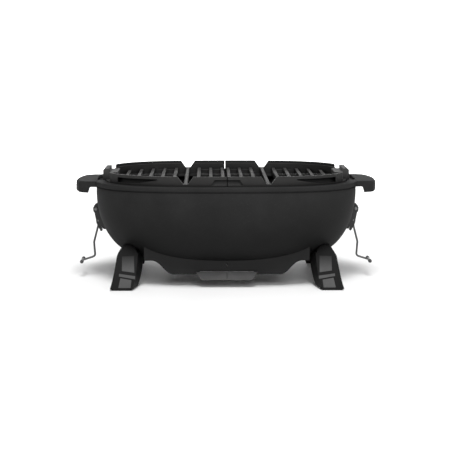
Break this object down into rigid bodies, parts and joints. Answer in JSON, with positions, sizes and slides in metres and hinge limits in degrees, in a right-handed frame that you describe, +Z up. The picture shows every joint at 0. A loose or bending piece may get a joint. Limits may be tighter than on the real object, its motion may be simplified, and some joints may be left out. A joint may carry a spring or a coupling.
{
  "type": "portable charcoal grill",
  "caption": "Low oval portable charcoal grill without its lid: cast bowl, lift-out cooking grates, slide-out ash drawer, vent slide and swinging side latches.",
  "frame": {"origin": "on the ground, under the middle of the bowl", "axes": "+Z up, +X along the bowl's long axis towards one end handle, -Y towards the front with the ash drawer's pull"},
  "size_m": [0.599, 0.373, 0.2215],
  "materials": {
    "black_casting": "matt black enamel on a casting",
    "leg_casting": "matt black enamel on a casting",
    "grey_trim": "satin dark grey paint",
    "grate_iron": "seasoned cast iron, rough",
    "tray_sheet": "satin black paint on sheet",
    "bare_steel": "dull zinc-plated sheet",
    "dark_knob": "satin black",
    "fasteners": "dull zinc plate",
    "soft_feet": "matt black rubber",
    "latch_sheet": "satin black paint on sheet",
    "pins": "turned steel",
    "rod": "drawn steel rod, dulled",
    "soft_caps": "matt black rubber"
  },
  "bodies": {
    "base": {"bowl": "black_casting", "base_tray": "tray_sheet", "tray_spacers": "fasteners", "tray_screws": "fasteners", "damper_rails": "bare_steel", "rail_screws": "fasteners", "leg_back_left": "leg_casting", "leg_back_right": "leg_casting", "leg_front_left": "leg_casting", "leg_front_right": "leg_casting", "leg_panels_back_left": "grey_trim", "leg_panels_back_right": "grey_trim", "leg_panels_front_left": "grey_trim", "leg_panels_front_right": "grey_trim", "leg_bolts": "fasteners", "foot_pads": "soft_feet", "latch_bracket_left": "latch_sheet", "latch_rivets_left": "pins", "latch_pin_left": "pins", "latch_bracket_right": "latch_sheet", "latch_rivets_right": "pins", "latch_pin_right": "pins"},
    "grate_left": {"cooking_grate_left": "grate_iron"},
    "grate_right": {"cooking_grate_right": "grate_iron"},
    "coal_grid": {"charcoal_grate": "grate_iron"},
    "drawer": {"ash_drawer": "bare_steel", "drawer_pull": "grey_trim", "pull_rivets": "fasteners"},
    "damper": {"damper_plate": "bare_steel", "damper_knob": "dark_knob"},
    "lever_left": {"latch_lever_left": "latch_sheet", "hook_pin_left": "pins"},
    "hook_left": {"latch_hook_left": "rod", "hook_caps_left": "soft_caps"},
    "lever_right": {"latch_lever_right": "latch_sheet", "hook_pin_right": "pins"},
    "hook_right": {"latch_hook_right": "rod", "hook_caps_right": "soft_caps"}
  },
  "joints": [
    {"name": "grate_left_lift", "type": "slide", "parent": "base", "child": "grate_left", "axis": [0, 0, 1], "range_m": [0, 0.15]},
    {"name": "grate_right_lift", "type": "slide", "parent": "base", "child": "grate_right", "axis": [0, 0, 1], "range_m": [0, 0.15]},
    {"name": "charcoal_grate_lift", "type": "slide", "parent": "base", "child": "coal_grid", "axis": [0, 0, 1], "range_m": [0, 0.08]},
    {"name": "drawer_slide", "type": "slide", "parent": "base", "child": "drawer", "axis": [0, -1, 0], "range_m": [0, 0.15]},
    {"name": "damper_slide", "type": "slide", "parent": "base", "child": "damper", "axis": [1, 0, 0], "range_m": [0, 0.009]},
    {"name": "lever_left_pivot", "type": "hinge", "parent": "base", "child": "lever_left", "pos_m": [-0.261, 0, 0.138], "axis": [0, 1, 0], "range_deg": [0, 110]},
    {"name": "hook_left_pivot", "type": "hinge", "parent": "lever_left", "child": "hook_left", "pos_m": [-0.2565, 0, 0.114], "axis": [0, -1, 0], "range_deg": [-120, 0]},
    {"name": "lever_right_pivot", "type": "hinge", "parent": "base", "child": "lever_right", "pos_m": [0.261, 0, 0.138], "axis": [0, -1, 0], "range_deg": [0, 110]},
    {"name": "hook_right_pivot", "type": "hinge", "parent": "lever_right", "child": "hook_right", "pos_m": [0.2565, 0, 0.114], "axis": [0, 1, 0], "range_deg": [-120, 0]}
  ]
}
